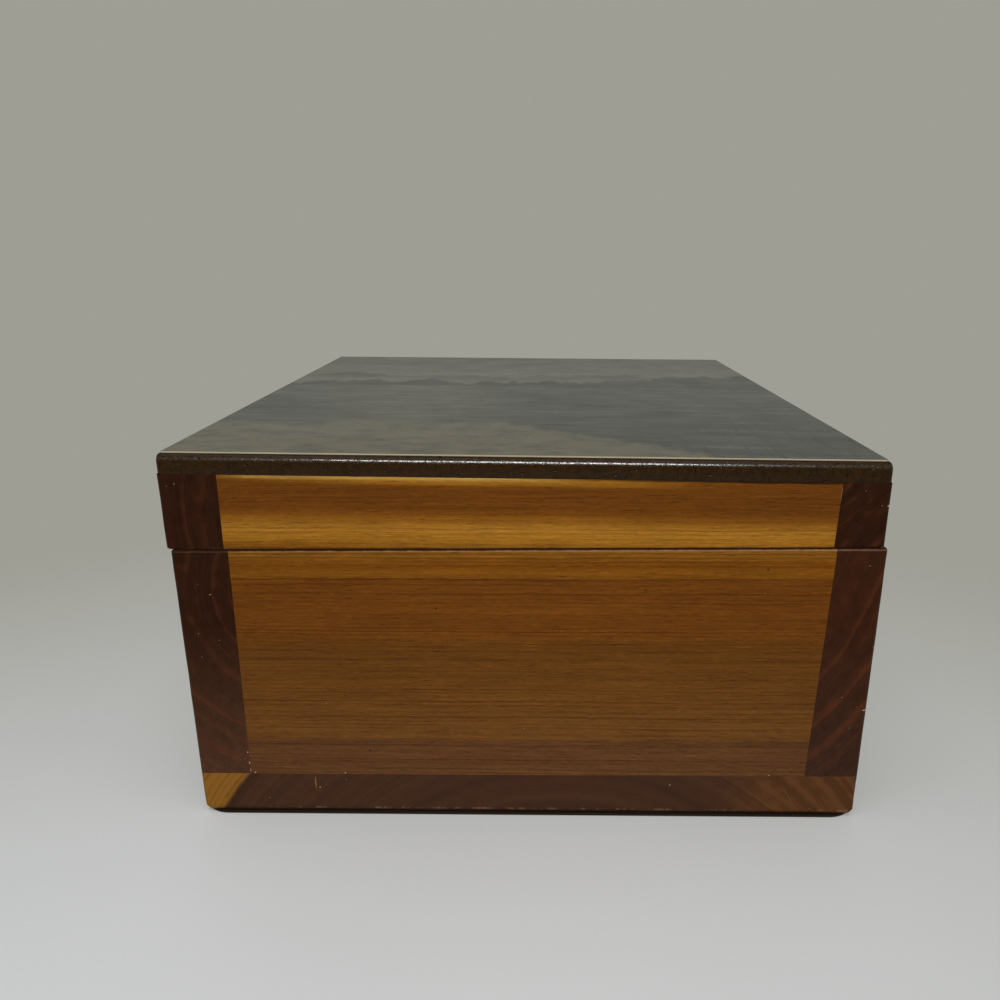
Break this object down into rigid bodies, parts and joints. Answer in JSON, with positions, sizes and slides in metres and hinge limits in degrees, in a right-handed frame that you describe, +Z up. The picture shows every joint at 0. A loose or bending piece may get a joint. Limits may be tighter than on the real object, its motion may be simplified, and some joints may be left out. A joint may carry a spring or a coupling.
{
  "type": "trinket box",
  "caption": "Lidded cedar box with dark side boards, a hardboard lid carrying a printed picture, and brass butt hinges behind.",
  "frame": {"origin": "middle of the underside of the bottom board, on the surface that the box stands on", "axes": "+X to the box's right as seen from its front, +Y from the front end to the hinged back, +Z up"},
  "size_m": [0.1532, 0.2065, 0.0862],
  "materials": {
    "cedar_panel": "varnished, level grain",
    "cedar_side": "varnished dark heartwood, end grain in front",
    "cedar_end_grain": "varnished board, end grain in front",
    "dark_hardboard": "stained hardboard with a glossy varnished edge",
    "printed_sheet": "varnished paper print with a cream edge",
    "brass": "aged lacquered brass",
    "brass_screws": "slotted brass screws",
    "steel_brads": "bright steel wire brads"
  },
  "bodies": {
    "base": {"bottom_board": "cedar_end_grain", "base_left_side": "cedar_side", "base_right_side": "cedar_side", "base_front_panel": "cedar_panel", "base_back_panel": "cedar_panel", "bottom_brads": "steel_brads", "left_hinge_base_leaf": "brass", "right_hinge_base_leaf": "brass", "left_hinge_pin": "brass", "right_hinge_pin": "brass", "base_hinge_screws": "brass_screws"},
    "lid": {"lid_left_rail": "cedar_side", "lid_right_rail": "cedar_side", "lid_front_rail": "cedar_panel", "lid_back_rail": "cedar_panel", "lid_board": "dark_hardboard", "lid_print": "printed_sheet", "left_hinge_lid_leaf": "brass", "right_hinge_lid_leaf": "brass", "lid_hinge_screws": "brass_screws"}
  },
  "joints": [
    {"name": "lid_hinge", "type": "hinge", "parent": "base", "child": "lid", "pos_m": [0, 0.10324, 0.06507], "axis": [-1, 0, 0], "range_deg": [0, 180]}
  ]
}
